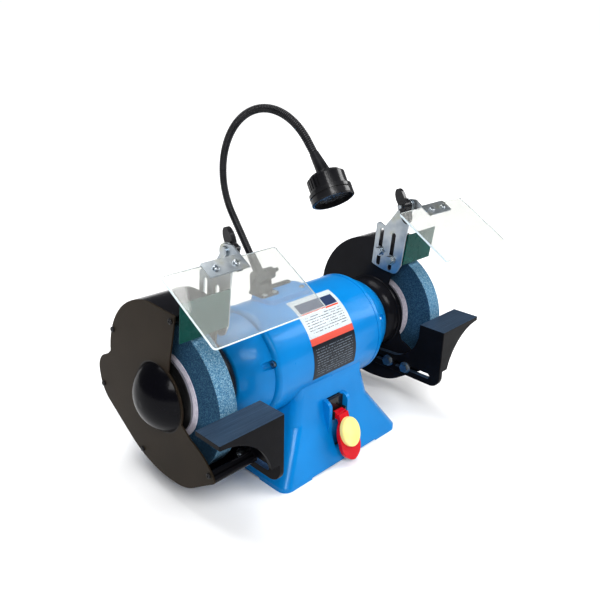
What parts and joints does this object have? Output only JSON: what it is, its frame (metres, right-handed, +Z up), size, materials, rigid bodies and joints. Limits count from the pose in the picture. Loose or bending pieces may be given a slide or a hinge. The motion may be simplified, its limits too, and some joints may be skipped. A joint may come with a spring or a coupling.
{
  "type": "bench grinder",
  "caption": "Bench grinder: motor on a skirted base, guarded grinding wheels, tool rests, spark deflectors, hinged clear eye shields, stop switch and a gooseneck lamp.",
  "frame": {"origin": "centre of the base bolt pattern on the bench surface", "axes": "+Z up, +X along the spindle to the right-hand wheel, -Y towards the person using it"},
  "size_m": [0.554, 0.3169, 0.4903],
  "materials": {
    "blue_paint": "glossy enamel",
    "black_paint": "satin",
    "cover_paint": "matte textured",
    "zinc": "zinc plated",
    "black_steel": "blackened",
    "rest_iron": "machined top, painted web",
    "deflector_paint": "satin",
    "steel": "turned",
    "copper": "varnished winding wire",
    "abrasive": "coarse bonded grit",
    "blotter_card": "plain card",
    "bush_plastic": "plain",
    "shield_clear": "clear moulded sheet",
    "black_plastic": "gloss",
    "neck_black": "sleeved flexible tube",
    "capacitor_can": "drawn can",
    "red_plastic": "gloss",
    "key_yellow": "gloss",
    "lens": "frosted",
    "label_film": null
  },
  "bodies": {
    "grinder_body": {"base_casting": "blue_paint", "base_bottom_plate": "zinc", "bottom_plate_screws": "zinc", "cord_gland": "black_plastic", "run_capacitor": "capacitor_can", "motor_shell": "blue_paint", "left_end_bell": "blue_paint", "right_end_bell": "blue_paint", "bell_screws": "zinc", "stator_core": "steel", "stator_windings": "copper", "bearing_outer_rings": "steel", "rating_label": "label_film", "left_guard_body": "black_paint", "right_guard_body": "black_paint", "left_guard_cover": "cover_paint", "right_guard_cover": "cover_paint", "cover_screws": "black_steel", "guard_mount_screws": "zinc", "tool_rest_bolts": "zinc", "deflector_bolts": "zinc", "switch_body": "black_plastic", "lamp_foot": "black_plastic", "lamp_foot_screws": "zinc"},
    "spindle": {"spindle_shaft": "steel", "bearing_inner_rings": "steel", "rotor_core": "steel", "cooling_fan": "black_plastic", "left_grinding_wheel": "abrasive", "right_grinding_wheel": "abrasive", "inner_flanges": "steel", "outer_flanges": "steel", "wheel_blotters": "blotter_card", "wheel_bushings": "bush_plastic", "spindle_nuts": "zinc"},
    "left_rest": {"left_tool_rest": "rest_iron"},
    "left_deflector": {"left_deflector_bracket": "zinc", "left_deflector_plate": "deflector_paint", "left_shield_pivot_bolt": "zinc"},
    "left_shield": {"left_eye_shield": "shield_clear", "left_shield_bracket": "zinc", "left_shield_screws": "zinc"},
    "left_knob": {"left_wing_knob": "black_plastic"},
    "right_rest": {"right_tool_rest": "rest_iron"},
    "right_deflector": {"right_deflector_bracket": "zinc", "right_deflector_plate": "deflector_paint", "right_shield_pivot_bolt": "zinc"},
    "right_shield": {"right_eye_shield": "shield_clear", "right_shield_bracket": "zinc", "right_shield_screws": "zinc"},
    "right_knob": {"right_wing_knob": "black_plastic"},
    "paddle": {"switch_paddle": "red_plastic"},
    "key": {"safety_key": "key_yellow"},
    "lamp_arm": {"lamp_neck_lower": "neck_black"},
    "lamp_bend": {"lamp_neck_upper": "neck_black"},
    "lamp": {"lamp_head": "black_plastic", "lamp_bezel": "black_plastic", "lamp_lens": "lens"},
    "lamp_knob": {"lamp_clamp_knob": "black_plastic"}
  },
  "joints": [
    {"name": "spindle_spin", "type": "hinge", "parent": "grinder_body", "child": "spindle", "pos_m": [0, 0, 0.153], "axis": [1, 0, 0], "continuous": true},
    {"name": "left_rest_slide", "type": "slide", "parent": "grinder_body", "child": "left_rest", "axis": [0, -1, 0], "range_m": [-0.001, 0.018]},
    {"name": "left_deflector_slide", "type": "slide", "parent": "grinder_body", "child": "left_deflector", "axis": [0, -0.0872, 0.9962], "range_m": [-0.006, 0.01]},
    {"name": "left_shield_tilt", "type": "hinge", "parent": "left_deflector", "child": "left_shield", "pos_m": [-0.174, -0.057, 0.34], "axis": [1, 0, 0], "range_deg": [-60, 5]},
    {"name": "left_knob_turn", "type": "hinge", "parent": "left_deflector", "child": "left_knob", "pos_m": [-0.165, -0.057, 0.34], "axis": [1, 0, 0], "range_deg": [-25, 25]},
    {"name": "right_rest_slide", "type": "slide", "parent": "grinder_body", "child": "right_rest", "axis": [0, -1, 0], "range_m": [-0.001, 0.018]},
    {"name": "right_deflector_slide", "type": "slide", "parent": "grinder_body", "child": "right_deflector", "axis": [0, -0.0872, 0.9962], "range_m": [-0.006, 0.01]},
    {"name": "right_shield_tilt", "type": "hinge", "parent": "right_deflector", "child": "right_shield", "pos_m": [0.174, -0.057, 0.34], "axis": [1, 0, 0], "range_deg": [-60, 5]},
    {"name": "right_knob_turn", "type": "hinge", "parent": "right_deflector", "child": "right_knob", "pos_m": [0.165, -0.057, 0.34], "axis": [1, 0, 0], "range_deg": [-25, 25]},
    {"name": "paddle_hinge", "type": "hinge", "parent": "grinder_body", "child": "paddle", "pos_m": [0, -0.087, 0.07], "axis": [1, 0, 0], "range_deg": [-25, 3]},
    {"name": "key_pull", "type": "slide", "parent": "paddle", "child": "key", "axis": [0, -0.9291, 0.3697], "range_m": [0, 0.03]},
    {"name": "lamp_tilt", "type": "hinge", "parent": "grinder_body", "child": "lamp_arm", "pos_m": [-0.051, 0.022, 0.26], "axis": [1, 0, 0], "range_deg": [-12, 20]},
    {"name": "neck_bend", "type": "hinge", "parent": "lamp_arm", "child": "lamp_bend", "pos_m": [-0.051, 0.098, 0.393], "axis": [1, 0, 0], "range_deg": [-20, 15]},
    {"name": "lamp_head_tilt", "type": "hinge", "parent": "lamp_bend", "child": "lamp", "pos_m": [-0.051, -0.09083, 0.42073], "axis": [1, 0, 0], "range_deg": [-20, 20]},
    {"name": "lamp_knob_turn", "type": "hinge", "parent": "grinder_body", "child": "lamp_knob", "pos_m": [-0.035, 0.022, 0.26], "axis": [1, 0, 0], "continuous": true}
  ]
}
